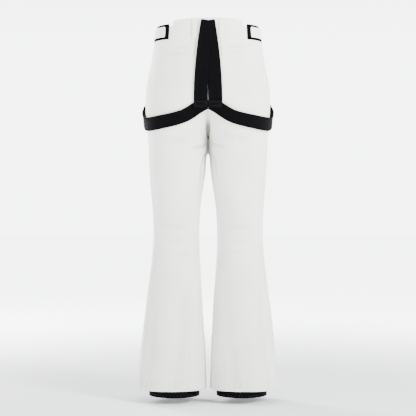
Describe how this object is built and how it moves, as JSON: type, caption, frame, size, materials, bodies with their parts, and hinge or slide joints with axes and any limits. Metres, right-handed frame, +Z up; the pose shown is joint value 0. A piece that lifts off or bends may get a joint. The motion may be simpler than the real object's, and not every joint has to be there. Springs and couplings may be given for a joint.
{
  "type": "ski pants",
  "caption": "Flared stretch softshell ski pants with detachable elastic braces, zipped hand pockets, hook-and-loop waist tabs and inner snow gaiters.",
  "frame": {"origin": "middle of the waist opening, level with the top edge at the centre back", "axes": "+Z up out of the waist, the front of the pants faces -Y, the wearer's left is +X"},
  "size_m": [0.4042, 0.2576, 1.0577],
  "materials": {
    "softshell": "matte woven stretch face",
    "binding": "soft matte",
    "elastic": "ribbed woven",
    "loop_pile": "napped",
    "mesh": "fine mesh",
    "gaiter_nylon": "coated plain weave",
    "gripper": "printed silicone dots on elastic",
    "zip": "coil on tape",
    "metal": "brushed",
    "acetal": "fine matte"
  },
  "bodies": {
    "seat": {"belt_loops": "softshell", "brace_anchor": "elastic", "brace_junction": "elastic", "brace_snaps": "metal", "fly_zip": "zip", "hanger_loop": "binding", "left_brace_back": "elastic", "left_brace_front": "elastic", "left_hip_fold": "softshell", "left_loop_patch": "loop_pile", "left_pocket_bag": "mesh", "left_pocket_zip": "zip", "left_seat_back": "softshell", "left_seat_front": "softshell", "left_waistband_front": "softshell", "right_brace_back": "elastic", "right_brace_front": "elastic", "right_hip_fold": "softshell", "right_loop_patch": "loop_pile", "right_pocket_bag": "mesh", "right_pocket_zip": "zip", "right_seat_back": "softshell", "right_seat_front": "softshell", "right_waistband_front": "softshell", "snap_studs": "metal", "waistband_back": "softshell"},
    "left_thigh": {"left_thigh_back": "softshell", "left_thigh_front": "softshell", "left_knee_fold": "softshell"},
    "left_shin": {"left_shin_back": "softshell", "left_shin_front": "softshell", "left_hem_facing": "binding", "left_gaiter": "gaiter_nylon", "left_scuff_guard": "binding"},
    "left_cuff": {"left_cuff": "gripper", "left_lace_hook": "metal"},
    "right_thigh": {"right_thigh_back": "softshell", "right_thigh_front": "softshell", "right_knee_fold": "softshell"},
    "right_shin": {"right_shin_back": "softshell", "right_shin_front": "softshell", "right_hem_facing": "binding", "right_gaiter": "gaiter_nylon", "right_scuff_guard": "binding"},
    "right_cuff": {"right_cuff": "gripper", "right_lace_hook": "metal"},
    "fly_slider": {"fly_slider": "metal"},
    "fly_pull": {"fly_pull": "binding"},
    "waist_tab": {"waist_tab": "softshell", "snap_caps": "metal"},
    "left_pocket_slider": {"left_pocket_slider": "metal"},
    "left_pocket_pull": {"left_pocket_pull": "binding"},
    "left_adjuster_tab": {"left_adjuster_tab": "softshell"},
    "left_glide": {"left_glide": "acetal"},
    "right_pocket_slider": {"right_pocket_slider": "metal"},
    "right_pocket_pull": {"right_pocket_pull": "binding"},
    "right_adjuster_tab": {"right_adjuster_tab": "softshell"},
    "right_glide": {"right_glide": "acetal"}
  },
  "joints": [
    {"name": "left_hip_bend", "type": "hinge", "parent": "seat", "child": "left_thigh", "pos_m": [0.09, 0.0009, -0.225], "axis": [-1, 0, 0], "range_deg": [-15, 50], "deforming": ["left_hip_fold"]},
    {"name": "left_knee_bend", "type": "hinge", "parent": "left_thigh", "child": "left_shin", "pos_m": [0.09, -0.01, -0.61], "axis": [1, 0, 0], "range_deg": [0, 90], "deforming": ["left_knee_fold"]},
    {"name": "left_cuff_slide", "type": "slide", "parent": "left_shin", "child": "left_cuff", "axis": [0, 0, 1], "range_m": [0, 0.06], "deforming": ["left_gaiter"]},
    {"name": "right_hip_bend", "type": "hinge", "parent": "seat", "child": "right_thigh", "pos_m": [-0.09, 0.0009, -0.225], "axis": [-1, 0, 0], "range_deg": [-15, 50], "deforming": ["right_hip_fold"]},
    {"name": "right_knee_bend", "type": "hinge", "parent": "right_thigh", "child": "right_shin", "pos_m": [-0.09, -0.01, -0.61], "axis": [1, 0, 0], "range_deg": [0, 90], "deforming": ["right_knee_fold"]},
    {"name": "right_cuff_slide", "type": "slide", "parent": "right_shin", "child": "right_cuff", "axis": [0, 0, 1], "range_m": [0, 0.06], "deforming": ["right_gaiter"]},
    {"name": "fly_slider_slide", "type": "slide", "parent": "seat", "child": "fly_slider", "axis": [0, -0.0046, -1], "range_m": [0, 0.076]},
    {"name": "fly_pull_swing", "type": "hinge", "parent": "fly_slider", "child": "fly_pull", "pos_m": [0, -0.10493, -0.06843], "axis": [-1, 0, 0], "range_deg": [0, 110]},
    {"name": "left_pocket_slider_slide", "type": "slide", "parent": "seat", "child": "left_pocket_slider", "axis": [0.1865, 0, -0.9825], "range_m": [0, 0.088]},
    {"name": "left_pocket_pull_swing", "type": "hinge", "parent": "left_pocket_slider", "child": "left_pocket_pull", "pos_m": [0.15286, -0.01482, -0.08316], "axis": [-0.1756, -0.9839, -0.0333], "range_deg": [0, 110]},
    {"name": "left_adjuster_peel", "type": "hinge", "parent": "seat", "child": "left_adjuster_tab", "pos_m": [0.1473, -0.03, -0.041], "axis": [0, 0, -1], "range_deg": [0, 43]},
    {"name": "left_glide_slide", "type": "slide", "parent": "seat", "child": "left_glide", "axis": [-0.3931, -0.0712, 0.9168], "range_m": [0, 0.044]},
    {"name": "right_pocket_slider_slide", "type": "slide", "parent": "seat", "child": "right_pocket_slider", "axis": [-0.1865, 0, -0.9825], "range_m": [0, 0.088]},
    {"name": "right_pocket_pull_swing", "type": "hinge", "parent": "right_pocket_slider", "child": "right_pocket_pull", "pos_m": [-0.15286, -0.01482, -0.08316], "axis": [-0.1756, 0.9839, 0.0333], "range_deg": [0, 110]},
    {"name": "right_adjuster_peel", "type": "hinge", "parent": "seat", "child": "right_adjuster_tab", "pos_m": [-0.1473, -0.03, -0.041], "axis": [0, 0, 1], "range_deg": [0, 43]},
    {"name": "right_glide_slide", "type": "slide", "parent": "seat", "child": "right_glide", "axis": [0.3931, -0.0712, 0.9168], "range_m": [0, 0.044]},
    {"name": "waist_tab_open", "type": "hinge", "parent": "seat", "child": "waist_tab", "pos_m": [0.015, -0.10558, -0.044], "axis": [0, 0, 1], "range_deg": [0, 95]}
  ]
}
